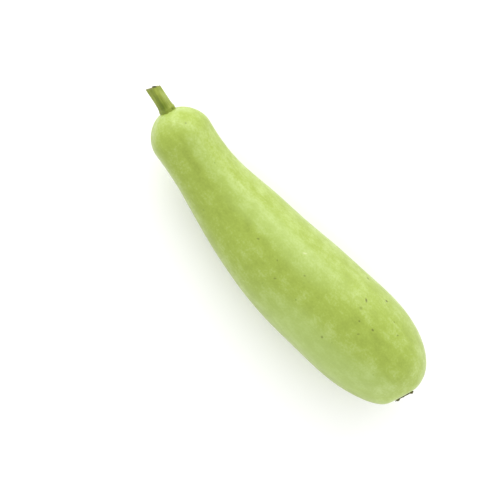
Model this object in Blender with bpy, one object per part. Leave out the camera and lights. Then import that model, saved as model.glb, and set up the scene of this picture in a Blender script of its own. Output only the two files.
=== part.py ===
"""Bottle gourd, as picked, lying on its side.

It is one grown fruit, the cut stub of the stem that it hung by, and the dried scar that its
flower left. Metres, +Z up. The long axis runs along X, with the stem at -X and the blossom
end at +X. The origin is at the bottom centre of the whole, on the surface that it lies on.
"""
import math

import bpy
import numpy as np
from mathutils import Vector

# Touching pieces stay this far apart
GAP = 0.0003

# Fruit: one value every STATION_GAP, from the stem end to the blossom end
FRUIT_LENGTH = 0.320
STATION_GAP = 0.040
RADII = (0.0286, 0.0265, 0.0297, 0.0365, 0.0415, 0.0440, 0.0452, 0.0445, 0.0420)
SIDEWAYS = (0.0120, 0.0050, 0.0000, -0.0025, -0.0038, -0.0020, 0.0007, 0.0025, -0.0005)
HEIGHTS = (0.0500, 0.0445, 0.0405, 0.0400, 0.0420, 0.0440, 0.0470, 0.0495, 0.0505)
SHOULDER_REACH = 0.027
SHOULDER_POWER = 1.75
TIP_REACH = 0.100
TIP_POWER = 3.0
LOBES = 5
LOBE_DEPTH = 0.0006
LOBE_PHASE = 0.4
WAVES_ROUND = 2
WAVE_DEPTH = 0.0003
WAVE_LENGTH = 0.083
# Half the distance over which the centre line's direction is read
DIRECTION_STEP = 0.00003
# Rings of points: how many round off each end, up to END_SHARE of the full girth, how many lie
# between, and how many points each has
SHOULDER_RINGS = 9
MIDDLE_RINGS = 27
TIP_RINGS = 13
END_SHARE = 0.96
FRUIT_SIDES = 60

# How deep the flat spot that it rests on cuts into the lowest line of its underside, and the
# block that cuts it
FLAT_DEPTH = 0.0009
BLOCK_WIDTH = 0.320
BLOCK_THICKNESS = 0.0036

# Seats, and how far to the side of the fruit's two ends they lie: a shallow hollow for the
# stem, and for the scar a face where the blossom end is pressed flat
STEM_SEAT_SIDE = 0.0024
STEM_SEAT_DEPTH = 0.0010
STEM_SEAT_WIDTH = 0.011
SCAR_SEAT_SIDE = -0.0036
SCAR_SEAT_DEPTH = 0.0001
SCAR_SEAT_SOFTNESS = 0.0008

# Stem: headings are degrees from +X round to +Y, rises are degrees above level. Its cut slopes
# to the side and upwards, with a torn step near its middle
STEM_HEADING = 169.0
STEM_RISE = 8.0
STEM_LENGTH = 0.0216
STEM_RADIUS = 0.0059
STEM_EDGES = 5
STEM_EDGE_SHARPNESS = 0.75
STEM_TWIST = 12.0
STEM_FLARE = 0.16
STEM_FLARE_LENGTH = 0.0022
STEM_BOW = 0.0006
STEM_CUT_SLOPE = 0.41
STEM_CUT_RISE = 0.30
STEM_CUT_STEP = 0.0012
STEM_STEP_SIDE = 0.0007
STEM_STEP_SOFTNESS = 0.0003
STEM_SINK = 0.004
STEM_RINGS = 15
STEM_RING_CROWDING = 1.5
STEM_SIDES = 40
STEM_CAP_SHARES = (0.94, 0.6, 0.25)

# Scar: a fibrous hollow button. Heights are above its seat, and shares are of its outline. Each
# tear is a wave round the edge: how many there are, how strong and where the first one starts
SCAR_HEADING = -18.0
SCAR_RISE = 14.0
SCAR_LENGTH = 0.0165
SCAR_WIDTH = 0.0140
SCAR_SINK = 0.004
SCAR_FOOT_SHARE = 0.80
SCAR_NECK_SHARE = 0.86
SCAR_NECK_HEIGHT = 0.0002
SCAR_FLOOR_HEIGHT = 0.0004
SCAR_RIM_HEIGHT = 0.0007
SCAR_RIM_RAGGED = 0.0002
SCAR_RIM_TEARS = ((7, 1.0, 1.0), (12, 1.0, 0.3))
SCAR_RIM_STEEPNESS = 6
SCAR_EDGE_RAGGED = 0.035
SCAR_EDGE_TEARS = ((5, 1.0, 0.6), (9, 0.7, 2.1), (14, 0.6, 0.0))
SCAR_FIBRES = 5
SCAR_FIBRE_DEPTH = 0.0002
SCAR_FIBRE_SWAY = 1.3
# Wisps: where they stand round the rim in degrees, how wide, how tall and how far they lean out
SCAR_WISPS = (36.0, 144.0, 205.0, 262.0, 318.0)
SCAR_WISP_WIDTH = 9.0
SCAR_WISP_LENGTH = 0.0010
SCAR_WISP_LEAN = 0.0010
SCAR_RINGS = 7
SCAR_SIDES = 48

# Colour in linear light and roughness of each piece
COLOURS = {
    "fruit": ((0.42, 0.56, 0.15), 0.42),
    "stem": ((0.24, 0.30, 0.06), 0.60),
    "blossom_scar": ((0.16, 0.08, 0.035), 0.85),
}


def smooth_curve(values, at):
    """Natural cubic spline through values one STATION_GAP apart, read at the distances in at.

    A bend is the curve's second derivative at a value, times the gap squared. 1, 4, 1 and 6 are
    the weights that make neighbouring stretches meet with the same slope.
    """
    values = np.asarray(values)
    count = len(values)
    system = np.eye(count)
    bends = np.zeros(count)
    for i in range(1, count - 1):
        system[i, i - 1:i + 2] = 1, 4, 1
        bends[i] = 6 * (values[i - 1] - 2 * values[i] + values[i + 1])
    bends = np.linalg.solve(system, bends)
    place = np.clip(at / STATION_GAP, 0, count - 1)
    before = np.minimum(place.astype(int), count - 2)
    past = place - before
    left = 1 - past
    straight = left * values[before] + past * values[before + 1]
    curved = (left**3 - left) * bends[before] + (past**3 - past) * bends[before + 1]
    return straight + curved / 6


def centre_line(along):
    """Middle of the fruit at each distance along it, lowered by the depth of the flat spot."""
    sideways = smooth_curve(SIDEWAYS, along)
    height = smooth_curve(HEIGHTS, along) - FLAT_DEPTH
    return np.stack([along - FRUIT_LENGTH / 2, sideways, height], -1)


def rounded_end(distance, reach, power):
    """1 past reach, falling to 0 at the end itself, as a superellipse does."""
    share = np.clip(distance / reach, 0, 1)
    return (1 - (1 - share) ** power) ** (1 / power)


def unit(vector):
    return vector / np.linalg.norm(vector, axis=-1, keepdims=True)


def frame_along(heading, rise):
    """Axis, level side and upper side of a direction given in degrees."""
    heading, rise = math.radians(heading), math.radians(rise)
    level = math.cos(rise)
    axis = np.array([math.cos(heading) * level, math.sin(heading) * level, math.sin(rise)])
    side = unit(np.cross([0, 0, 1], axis))
    return axis, side, np.cross(axis, side)


def hollowed(points, seat, axis, depth, width):
    """Points moved inwards round a seat, deepest at its middle and fading over its width."""
    away = np.linalg.norm(points - seat, axis=-1, keepdims=True)
    return points - axis * depth * np.exp(-((away / width) ** 2))


def flattened(points, seat, axis, softness):
    """Points that stand out past the plane of a seat, moved back to it, with a soft edge."""
    past = (points - seat) @ axis
    back = softness * np.logaddexp(0, past / softness)
    return points - back[..., None] * axis


def fruit_skin(along, angle):
    """Rings round the centre line, with rounded ends, soft lobes, slow waves and both seats."""
    centre = centre_line(along)
    ahead = unit(centre_line(along + DIRECTION_STEP) - centre_line(along - DIRECTION_STEP))
    side = unit(np.cross([0, 0, 1], ahead))
    up = np.cross(ahead, side)
    lobes = LOBE_DEPTH * np.cos(LOBES * angle + LOBE_PHASE)
    waves = WAVE_DEPTH * np.sin(2 * np.pi * along / WAVE_LENGTH + WAVES_ROUND * angle)
    radius = smooth_curve(RADII, along) + lobes + waves
    radius = radius * rounded_end(along, SHOULDER_REACH, SHOULDER_POWER)
    radius = radius * rounded_end(FRUIT_LENGTH - along, TIP_REACH, TIP_POWER)
    across = np.cos(angle)[..., None] * side + np.sin(angle)[..., None] * up
    points = centre + radius[..., None] * across
    stem_axis = frame_along(STEM_HEADING, STEM_RISE)[0]
    scar_axis = frame_along(SCAR_HEADING, SCAR_RISE)[0]
    points = hollowed(points, stem_seat(), stem_axis, STEM_SEAT_DEPTH, STEM_SEAT_WIDTH)
    return flattened(points, scar_seat(), scar_axis, SCAR_SEAT_SOFTNESS)


def stem_seat():
    """Where the stem's axis meets the stem end."""
    return centre_line(np.array(0.0)) + (0, STEM_SEAT_SIDE, 0)


def scar_seat():
    """Where the scar's axis meets the flat face pressed into the blossom end."""
    axis = frame_along(SCAR_HEADING, SCAR_RISE)[0]
    return centre_line(np.array(FRUIT_LENGTH)) + (0, SCAR_SEAT_SIDE, 0) - SCAR_SEAT_DEPTH * axis


def ring_angles(sides):
    return np.linspace(0, 2 * np.pi, sides, endpoint=False)


def closed_object(name, rings, first, last):
    """Object whose skin runs from a first pole over rings of points to a last pole.

    The rings turn by the right-hand rule about the way from the first pole to the last.
    """
    count, sides = rings.shape[:2]
    points = np.concatenate([rings.reshape(-1, 3), [first, last]])
    here = np.arange(sides)
    beside = (here + 1) % sides
    faces = []
    for i in range(count - 1):
        low, high = i * sides, (i + 1) * sides
        faces += np.stack([low + here, low + beside, high + beside, high + here], 1).tolist()
    top = (count - 1) * sides
    faces += [[count * sides, b, a] for a, b in zip(here.tolist(), beside.tolist())]
    faces += [[count * sides + 1, top + a, top + b] for a, b in zip(here.tolist(), beside.tolist())]
    mesh = bpy.data.meshes.new(name)
    mesh.from_pydata(points.tolist(), [], faces)
    mesh.shade_smooth()
    made = bpy.data.objects.new(name, mesh)
    bpy.context.scene.collection.objects.link(made)
    return made


def finish(made):
    """Gives the object its material."""
    colour, roughness = COLOURS[made.name]
    material = bpy.data.materials.new(made.name)
    material.use_nodes = True
    shader = material.node_tree.nodes["Principled BSDF"]
    shader.inputs["Base Color"].default_value = (*colour, 1)
    shader.inputs["Roughness"].default_value = roughness
    shader.inputs["Metallic"].default_value = 0
    made.data.materials.append(material)
    return made


def cut_away(made, cutter):
    """Takes the cutter's shape out of the object, and hides the cutter."""
    cutter.hide_render = True
    cutter.display_type = "WIRE"
    cut = made.modifiers.new(cutter.name, "BOOLEAN")
    cut.operation = "DIFFERENCE"
    cut.solver = "EXACT"
    cut.object = cutter


def end_rings(count, reach, power):
    """Distances from an end where its girth grows by even steps, up to END_SHARE of the whole."""
    share = END_SHARE * np.sin(np.linspace(0, np.pi / 2, count + 1)[1:])
    return reach * (1 - (1 - share**power) ** (1 / power))


def make_fruit():
    """The grown body, with rings closer together towards both ends."""
    shoulder = end_rings(SHOULDER_RINGS, SHOULDER_REACH, SHOULDER_POWER)
    tip = FRUIT_LENGTH - end_rings(TIP_RINGS, TIP_REACH, TIP_POWER)[::-1]
    middle = np.linspace(shoulder[-1], tip[0], MIDDLE_RINGS + 2)[1:-1]
    along = np.concatenate([shoulder, middle, tip])
    angle = ring_angles(FRUIT_SIDES)
    rings = fruit_skin(*np.meshgrid(along, angle, indexing="ij"))
    ends = fruit_skin(np.array([0.0, FRUIT_LENGTH]), np.zeros(2))
    return closed_object("fruit", rings, ends[0], ends[1])


def make_surface_cutter():
    """A block whose top is the surface that the fruit rests on."""
    bpy.ops.mesh.primitive_cube_add(size=1)
    block = bpy.context.object
    block.name = "surface_cutter"
    block.scale = (BLOCK_WIDTH, BLOCK_WIDTH, BLOCK_THICKNESS)
    block.location.z = -BLOCK_THICKNESS / 2
    return block


def make_clearance_cutter(fruit):
    """The fruit again, fuller by the gap that its neighbours keep."""
    fuller = bpy.data.objects.new("clearance_cutter", fruit.data)
    bpy.context.scene.collection.objects.link(fuller)
    swell = fuller.modifiers.new("swell", "DISPLACE")
    swell.strength = GAP
    swell.mid_level = 0
    return fuller


def stem_section(angle):
    """Radius over STEM_RADIUS: a rounded polygon with STEM_EDGES edges."""
    slice_angle = 2 * np.pi / STEM_EDGES
    off_middle = np.mod(angle, slice_angle) - slice_angle / 2
    polygon = np.cos(slice_angle / 2) / np.cos(off_middle)
    return 1 + STEM_EDGE_SHARPNESS * (polygon - polygon.mean())


def stem_top(x, y):
    """Height of the cut end: a slope across the stem both ways, with a torn step in it."""
    step = STEM_CUT_STEP / (1 + np.exp(-(x - STEM_STEP_SIDE) / STEM_STEP_SOFTNESS))
    return STEM_LENGTH + STEM_CUT_SLOPE * x + STEM_CUT_RISE * y - step


def make_stem():
    """The cut stub: an edged section, flared where it grows from the fruit."""
    axis, side, up = frame_along(STEM_HEADING, STEM_RISE)
    angle = ring_angles(STEM_SIDES)
    section = STEM_RADIUS * stem_section(angle)
    turned = angle + math.radians(STEM_TWIST)
    top = stem_top(section * np.cos(turned), section * np.sin(turned))
    share = np.linspace(0, 1, STEM_RINGS)[:, None]
    height = -STEM_SINK + share**STEM_RING_CROWDING * (top + STEM_SINK)
    above = np.maximum(height, 0)
    radius = section * (1 + STEM_FLARE * np.exp(-above / STEM_FLARE_LENGTH))
    turn = angle + math.radians(STEM_TWIST) * height / STEM_LENGTH
    x, y = radius * np.cos(turn), radius * np.sin(turn)
    for shrink in STEM_CAP_SHARES:
        x = np.vstack([x, x[STEM_RINGS - 1] * shrink])
        y = np.vstack([y, y[STEM_RINGS - 1] * shrink])
        height = np.vstack([height, stem_top(x[-1], y[-1])])
    bow = STEM_BOW * (height / STEM_LENGTH) ** 2
    seat = stem_seat()
    rings = seat + (x + bow)[..., None] * side + y[..., None] * up + height[..., None] * axis
    bottom = seat - axis * STEM_SINK
    tip = seat + axis * stem_top(0.0, 0.0) + side * STEM_BOW
    return closed_object("stem", rings, bottom, tip)


def torn(angle, tears):
    """Sum of sine waves round a circle, each with its count, its strength and its phase."""
    return sum(strength * np.sin(count * angle + phase) for count, strength, phase in tears)


def scar_outline(angle):
    """Ragged oval: its reach from the middle at each angle, with a torn edge."""
    oval = 1 / np.hypot(np.cos(angle) / (SCAR_LENGTH / 2), np.sin(angle) / (SCAR_WIDTH / 2))
    return oval * (1 + SCAR_EDGE_RAGGED * torn(angle, SCAR_EDGE_TEARS))


def scar_wisps(angle):
    """1 at the angles where a dried tip of the flower stands out, and 0 between them."""
    off = angle[:, None] - np.radians(SCAR_WISPS)
    off = np.angle(np.exp(1j * off)) / math.radians(SCAR_WISP_WIDTH)
    return np.exp(-(off**2)).max(axis=1)


def scar_dish(share, angle, rim):
    """Height inside the rim: a floor of swaying fibres that turns up steeply at the edge."""
    across = 2 * np.pi * SCAR_FIBRES * share * np.sin(angle)
    fibres = SCAR_FIBRE_DEPTH * np.cos(across + SCAR_FIBRE_SWAY * share * np.cos(angle))
    raised = share**SCAR_RIM_STEEPNESS
    return raised * rim + (1 - raised) * (SCAR_FLOOR_HEIGHT + fibres)


def make_blossom_scar():
    """The dried scar: a fibrous hollow button with a torn rim and a few wisps."""
    axis, side, up = frame_along(SCAR_HEADING, SCAR_RISE)
    angle = ring_angles(SCAR_SIDES)
    wisps = scar_wisps(angle)
    rim = SCAR_RIM_HEIGHT + SCAR_RIM_RAGGED * torn(angle, SCAR_RIM_TEARS)
    rim = rim + SCAR_WISP_LENGTH * wisps
    edge = scar_outline(angle)
    reach = [SCAR_FOOT_SHARE * edge, SCAR_NECK_SHARE * edge, edge + SCAR_WISP_LEAN * wisps]
    height = [np.full(SCAR_SIDES, -SCAR_SINK), np.full(SCAR_SIDES, SCAR_NECK_HEIGHT), rim]
    for share in np.linspace(1, 0, SCAR_RINGS, endpoint=False)[1:]:
        reach.append(share * edge)
        height.append(scar_dish(share, angle, rim))
    x, y = np.array(reach) * np.cos(angle), np.array(reach) * np.sin(angle)
    seat = scar_seat()
    rings = seat + x[..., None] * side + y[..., None] * up + np.array(height)[..., None] * axis
    bottom = seat - axis * SCAR_SINK
    middle = seat + axis * SCAR_FLOOR_HEIGHT
    return closed_object("blossom_scar", rings, bottom, middle)


def bottom_centre(objects):
    """Bottom centre of the box round the finished objects."""
    graph = bpy.context.evaluated_depsgraph_get()
    corners = []
    for made in objects:
        done = made.evaluated_get(graph)
        corners += [done.matrix_world @ Vector(corner) for corner in done.bound_box]
    low = np.min(corners, axis=0)
    high = np.max(corners, axis=0)
    return Vector(((low[0] + high[0]) / 2, (low[1] + high[1]) / 2, 0))


def main():
    for old in list(bpy.data.objects):
        bpy.data.objects.remove(old)
    fruit = make_fruit()
    stem = make_stem()
    scar = make_blossom_scar()
    clearance_cutter = make_clearance_cutter(fruit)
    surface_cutter = make_surface_cutter()
    cut_away(fruit, surface_cutter)
    cut_away(stem, clearance_cutter)
    cut_away(scar, clearance_cutter)
    pieces = [finish(fruit), finish(stem), finish(scar)]
    gourd = bpy.data.objects.new("gourd", None)
    bpy.context.scene.collection.objects.link(gourd)
    for made in [*pieces, clearance_cutter, surface_cutter]:
        made.parent = gourd
    gourd.location = -bottom_centre(pieces)


main()
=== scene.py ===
# %% [markdown]
# # A bottle gourd, dressed for its portrait
# The real thing is one grown fruit, the cut stub of the stem that it hung by, and the dried
# scar that its flower left at the other end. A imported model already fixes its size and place:
# 349 mm long, lying along X with the stem at -X. This file only gives it looks. Each piece is
# a surface worked out with numpy from the same few sizes as the model, with far more points,
# and then each gets a finish made of shader nodes.

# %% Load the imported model
import math

import bpy
import numpy as np
from mathutils import Matrix, Vector


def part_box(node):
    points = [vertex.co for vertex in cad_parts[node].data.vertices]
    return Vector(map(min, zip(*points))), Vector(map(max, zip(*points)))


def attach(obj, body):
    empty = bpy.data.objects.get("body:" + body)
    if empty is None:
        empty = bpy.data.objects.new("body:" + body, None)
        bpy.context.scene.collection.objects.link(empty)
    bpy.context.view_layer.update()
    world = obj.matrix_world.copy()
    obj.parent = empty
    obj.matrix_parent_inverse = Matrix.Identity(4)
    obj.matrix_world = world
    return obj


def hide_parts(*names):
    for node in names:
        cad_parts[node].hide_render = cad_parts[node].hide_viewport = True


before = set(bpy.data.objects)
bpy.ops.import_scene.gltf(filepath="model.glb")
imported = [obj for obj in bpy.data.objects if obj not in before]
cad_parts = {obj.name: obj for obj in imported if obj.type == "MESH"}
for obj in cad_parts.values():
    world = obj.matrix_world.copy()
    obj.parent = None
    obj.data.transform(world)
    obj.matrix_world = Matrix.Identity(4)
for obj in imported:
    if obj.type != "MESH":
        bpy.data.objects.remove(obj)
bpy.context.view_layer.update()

# %% [markdown]
# ## Camera
# The gourd lies on its side, so the camera looks down on it. It is tilted a little towards the
# stem end, which shows the foot of the stem in front of the shoulder, and it is turned about
# its own line of sight, so that the fruit runs from the upper left to the lower right. A camera
# could track an empty, but its roll would then be a guess. Here its three axes are worked out
# and written as a matrix. The focal length follows from how large one pixel is at the gourd.

# %% Camera
CAMERA_TILT = math.radians(8.0)
CAMERA_TURN = math.radians(47.3)
CAMERA_DISTANCE = 1.60
CAMERA_TARGET = Vector((-0.0143, -0.0160, 0.0450))
PICTURE_PIXELS = 500
PIXEL_SIZE = 0.000851


def new_object(name, data):
    """Object that shows a mesh, a lamp or a camera in the scene."""
    made = bpy.data.objects.new(name, data)
    bpy.context.scene.collection.objects.link(made)
    return made


def make_camera():
    """Camera whose upright is turned from +X towards +Y, looking at the target."""
    back = Vector((-math.sin(CAMERA_TILT), 0, math.cos(CAMERA_TILT)))
    upright = Vector((-math.sin(CAMERA_TURN), math.cos(CAMERA_TURN), 0))
    right = upright.cross(back).normalized()
    up = back.cross(right)
    data = bpy.data.cameras.new("camera")
    data.lens = data.sensor_width * CAMERA_DISTANCE / (PIXEL_SIZE * PICTURE_PIXELS)
    camera = new_object("camera", data)
    camera.matrix_world = Matrix.Translation(CAMERA_TARGET + back * CAMERA_DISTANCE) @ Matrix(
        (right, up, back)).transposed().to_4x4()
    bpy.context.scene.camera = camera
    return camera


camera = make_camera()
print("lens", round(camera.data.lens, 1), "mm")

# %% [markdown]
# ## The fruit as a formula
# A gourd could be sculpted, or subdivided from a cage of a few rings. A formula is easier to
# change: a bent centre line, and round it a radius that swells from the neck to the blossom
# half. Both are smooth curves through one value every 40 mm. The two ends close like a
# superellipse, whose power says how blunt the end is.

# %% Curves along the fruit
FRUIT_LENGTH = 0.320
STATION_GAP = 0.040
RADII = (0.0286, 0.0265, 0.0297, 0.0365, 0.0415, 0.0440, 0.0452, 0.0445, 0.0420)
SIDEWAYS = (0.0120, 0.0050, 0.0000, -0.0025, -0.0038, -0.0020, 0.0007, 0.0025, -0.0005)
HEIGHTS = (0.0500, 0.0445, 0.0405, 0.0400, 0.0420, 0.0440, 0.0470, 0.0495, 0.0505)
FLAT_DEPTH = 0.0009
SHOULDER_REACH, SHOULDER_POWER = 0.027, 1.75
TIP_REACH, TIP_POWER = 0.100, 3.0
DIRECTION_STEP = 0.00003
GIRTH_SAMPLES = 999


def smooth_curve(values, at):
    """Natural cubic spline through values one STATION_GAP apart, read at the distances in at.

    A bend is the curve's second derivative at a value, times the gap squared. 1, 4, 1 and 6 are
    the weights that make neighbouring stretches meet with the same slope.
    """
    values = np.asarray(values)
    count = len(values)
    system = np.eye(count)
    bends = np.zeros(count)
    for i in range(1, count - 1):
        system[i, i - 1:i + 2] = 1, 4, 1
        bends[i] = 6 * (values[i - 1] - 2 * values[i] + values[i + 1])
    bends = np.linalg.solve(system, bends)
    place = np.clip(at / STATION_GAP, 0, count - 1)
    before = np.minimum(place.astype(int), count - 2)
    past = place - before
    left = 1 - past
    straight = left * values[before] + past * values[before + 1]
    curved = (left**3 - left) * bends[before] + (past**3 - past) * bends[before + 1]
    return straight + curved / 6


def rounded_end(distance, reach, power):
    """1 past reach, falling to 0 at the end itself, as a superellipse does."""
    share = np.clip(distance / reach, 0, 1)
    return (1 - (1 - share) ** power) ** (1 / power)


def centre_line(along):
    """Middle of the fruit at each distance along it, lowered by the depth of the flat spot."""
    height = smooth_curve(HEIGHTS, along) - FLAT_DEPTH
    return np.stack([along - FRUIT_LENGTH / 2, smooth_curve(SIDEWAYS, along), height], -1)


def girth(along):
    """Radius without lobes at each distance along the fruit, 0 at both ends."""
    radius = smooth_curve(RADII, along) * rounded_end(along, SHOULDER_REACH, SHOULDER_POWER)
    return radius * rounded_end(FRUIT_LENGTH - along, TIP_REACH, TIP_POWER)


widest = 2 * girth(np.linspace(0, FRUIT_LENGTH, GIRTH_SAMPLES)).max()
print("widest", round(1000 * widest, 1), "mm")

# %% [markdown]
# ## Directions and seats
# The stem and the scar each stand on a seat near an end of the fruit, along an axis of their
# own: the stem in a shallow hollow, the scar on a face where the end is pressed flat.

# %% Axes and seats
STEM_HEADING, STEM_RISE = 169.0, 8.0
SCAR_HEADING, SCAR_RISE = -15.5, 14.0
STEM_SEAT_SIDE, STEM_SEAT_DEPTH, STEM_SEAT_WIDTH = 0.0024, 0.0010, 0.011
SCAR_SEAT_SIDE, SCAR_SEAT_DEPTH, SCAR_SEAT_SOFTNESS = -0.0036, 0.0001, 0.0008


def unit(vector):
    """A vector divided by its own length."""
    return vector / np.linalg.norm(vector, axis=-1, keepdims=True)


def frame_along(heading, rise):
    """Axis, level side and upper side of a direction given in degrees."""
    heading, rise = math.radians(heading), math.radians(rise)
    level = math.cos(rise)
    axis = np.array([math.cos(heading) * level, math.sin(heading) * level, math.sin(rise)])
    side = unit(np.cross([0, 0, 1], axis))
    return axis, side, np.cross(axis, side)


STEM_WAYS = frame_along(STEM_HEADING, STEM_RISE)
SCAR_WAYS = frame_along(SCAR_HEADING, SCAR_RISE)
STEM_AXIS, SCAR_AXIS = STEM_WAYS[0], SCAR_WAYS[0]
STEM_SEAT = centre_line(np.array(0.0)) + (0, STEM_SEAT_SIDE, 0)
SCAR_SEAT = (centre_line(np.array(FRUIT_LENGTH)) + (0, SCAR_SEAT_SIDE, 0)
             - SCAR_SEAT_DEPTH * SCAR_AXIS)
print("seats", STEM_SEAT.round(4), SCAR_SEAT.round(4))

# %% [markdown]
# ## Smooth skin, before any unevenness
# Round the centre line, the angle 0 points to the level side (+Y) and 90 degrees points up.
# Five soft lobes run lengthwise, as they do on most gourds, because the fruit has five rows of
# seeds and veins inside. A slow wave keeps it from looking turned on a lathe.

# %% Smooth skin
LOBES, LOBE_DEPTH, LOBE_PHASE = 5, 0.0006, 0.4
WAVES_ROUND, WAVE_DEPTH, WAVE_LENGTH = 2, 0.0003, 0.083


def smooth_skin(along, angle):
    """Centre line plus radius times (cos angle of the level side + sin angle of the upper one).

    The radius is the girth with lobes, cos of LOBES angles, and waves, a sine that winds round.
    Then the stem's seat is hollowed as a bell curve, and the scar's is pressed to a plane.
    """
    ahead = unit(centre_line(along + DIRECTION_STEP) - centre_line(along - DIRECTION_STEP))
    side = unit(np.cross([0, 0, 1], ahead))
    up = np.cross(ahead, side)
    lobes = LOBE_DEPTH * np.cos(LOBES * angle + LOBE_PHASE)
    waves = WAVE_DEPTH * np.sin(2 * np.pi * along / WAVE_LENGTH + WAVES_ROUND * angle)
    full = smooth_curve(RADII, along)
    radius = girth(along) * (1 + (lobes + waves) / full)
    across = np.cos(angle)[..., None] * side + np.sin(angle)[..., None] * up
    points = centre_line(along) + radius[..., None] * across
    away = np.linalg.norm(points - STEM_SEAT, axis=-1, keepdims=True)
    points = points - STEM_AXIS * STEM_SEAT_DEPTH * np.exp(-((away / STEM_SEAT_WIDTH) ** 2))
    past = (points - SCAR_SEAT) @ SCAR_AXIS
    back = SCAR_SEAT_SOFTNESS * np.logaddexp(0, past / SCAR_SEAT_SOFTNESS)
    return points - back[..., None] * SCAR_AXIS


print(LOBES, "lobes up to", 1000 * LOBE_DEPTH, "mm high")

# %% [markdown]
# ## Rings that lie evenly on the skin
# Rings at even distances along the fruit would crowd on the flanks and leave the blunt ends
# bare. So the outline is measured as it is walked: many short chords are added up, and the
# rings are set at even steps of that sum. That gives faces of about 1 mm everywhere.

# %% Even rings
FRUIT_RINGS = 326
FRUIT_SIDES = 300
OUTLINE_SAMPLES = 40000


def even_rings(count):
    """Distances along the fruit at equal steps of the length of its outline, ends left out."""
    sample = FRUIT_LENGTH * (1 - np.cos(np.linspace(0, np.pi, OUTLINE_SAMPLES))) / 2
    chords = np.hypot(np.diff(sample), np.diff(girth(sample)))
    walked = np.concatenate([[0], np.cumsum(chords)])
    return np.interp(np.linspace(0, walked[-1], count + 2)[1:-1], walked, sample)


def ring_angles(sides):
    """Even steps round a circle, whose last one stops short of the first."""
    return np.linspace(0, 2 * np.pi, sides, endpoint=False)


ring_place = even_rings(FRUIT_RINGS)
fruit_grid = np.meshgrid(ring_place, ring_angles(FRUIT_SIDES), indexing="ij")
skin_points = smooth_skin(*fruit_grid)
skin_ends = smooth_skin(np.array([0.0, FRUIT_LENGTH]), np.zeros(2))
print("ring gaps from", round(1000 * np.diff(ring_place).min(), 2), "to",
      round(1000 * np.diff(ring_place).max(), 2), "mm")

# %% [markdown]
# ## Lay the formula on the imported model
# The formula counts from the middle of the fruit's length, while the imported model's origin is
# at the bottom centre of the whole gourd. The shift between them is read from the two boxes,
# so that nothing is fitted by eye.

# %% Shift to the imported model
model_low, model_high = (np.array(corner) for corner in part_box("fruit"))
own_low = skin_points.reshape(-1, 3).min(axis=0)
own_high = skin_points.reshape(-1, 3).max(axis=0)
SHIFT = (model_low + model_high - own_low - own_high) / 2
SHIFT[2] = 0
print("shift", (1000 * SHIFT).round(2), "mm")
print("box differs by", (1000 * (own_high - own_low - model_high + model_low)).round(2), "mm")

# %% [markdown]
# ## One small helper for closed surfaces
# Every piece here is a stack of rings between two poles. The helper joins neighbouring rings
# with quads and closes each pole with a fan of triangles, all facing outwards.

# %% Closed surface from rings


def closed_faces(count, sides):
    """Corner numbers of the faces of a stack of rings, whose poles are the last two points."""
    here = np.arange(count * sides).reshape(count, sides)
    beside = np.roll(here, -1, axis=1)
    quads = np.stack([here[:-1], beside[:-1], beside[1:], here[1:]], -1).reshape(-1, 4)
    low_pole, high_pole = np.full(sides, count * sides), np.full(sides, count * sides + 1)
    fans = np.stack([np.concatenate([low_pole, high_pole]),
                     np.concatenate([beside[0], here[-1]]),
                     np.concatenate([here[0], beside[-1]])], -1)
    return quads.tolist() + fans.tolist()


def closed_shell(rings, first, last):
    """Points and faces of a skin from a first pole over rings of points to a last pole.

    The rings turn by the right-hand rule about the way from the first pole to the last.
    """
    points = np.concatenate([rings.reshape(-1, 3), [first, last]])
    return points, closed_faces(*rings.shape[:2])


def closed_piece(name, *shells):
    """Object made of one or more closed shells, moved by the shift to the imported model."""
    points, faces, offset = [], [], 0
    for shell_points, shell_faces in shells:
        points += (shell_points + SHIFT).tolist()
        faces += [[corner + offset for corner in face] for face in shell_faces]
        offset += len(shell_points)
    mesh = bpy.data.meshes.new(name)
    mesh.from_pydata(points, [], faces)
    mesh.shade_smooth()
    made = new_object(name, mesh)
    print(name, len(faces), "faces")
    return made


def keep_tone(made, name, rings, first, last):
    """Keeps one number for each point of a stack of rings and its two poles in the mesh."""
    layer = made.data.attributes.new(name, "FLOAT", "POINT")
    values = np.concatenate([rings.ravel(), [first, last]])
    layer.data.foreach_set("value", values.astype(np.float32))
    print(made.name, name, rings.min().round(2), "to", rings.max().round(2))


print("two rings of four points close with", len(closed_faces(2, 4)), "faces")

# %% [markdown]
# ## Marks on the skin
# A picked gourd has small corky pits where insects or sand touched it while it grew, and a few
# slits. The larger ones are listed as millimetres along the fruit and degrees round it. Each is
# an ellipse with a length and a width in millimetres, a turn in degrees from the lengthwise way,
# and a strength from 0 to 1. The same list dents the mesh here and darkens the skin later, so
# that colour and dent can't drift apart.

# %% Marks
MM = 0.001
MARKS = (
    (225.1, 19.0, 2.8, 2.2, 0, 1.0), (248.6, 30.0, 2.8, 2.3, 20, 1.0),
    (234.1, 53.5, 4.2, 2.1, 48, 0.8), (240.6, 77.0, 2.0, 1.7, 30, 0.65),
    (253.6, 74.0, 2.6, 2.1, 10, 0.75), (227.6, 117.5, 2.4, 2.0, 0, 0.6),
    (14.0, 68.5, 2.0, 1.6, 0, 0.5), (131.3, 92.0, 2.8, 1.5, -45, 0.6),
    (164.7, 108.0, 2.4, 1.3, -50, 0.5), (155.3, 91.5, 1.6, 1.3, 0, 0.5),
    (180.2, 81.5, 2.0, 1.5, -20, 0.5), (234.6, 65.5, 3.4, 2.6, 15, 0.35),
    (263.1, 47.0, 1.9, 1.6, 0, 0.5), (271.6, 56.0, 2.4, 1.2, -50, 0.6),
    (247.1, 88.0, 2.6, 1.4, -45, 0.5), (96.0, 250.0, 2.2, 1.6, 15, 0.8),
    (188.0, 305.0, 3.2, 1.4, 35, 0.9), (212.0, 208.0, 2.0, 1.8, 0, 0.8),
    (267.0, 188.0, 2.3, 1.5, 60, 0.9), (60.0, 335.0, 1.9, 1.3, -30, 0.7),
)
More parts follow.
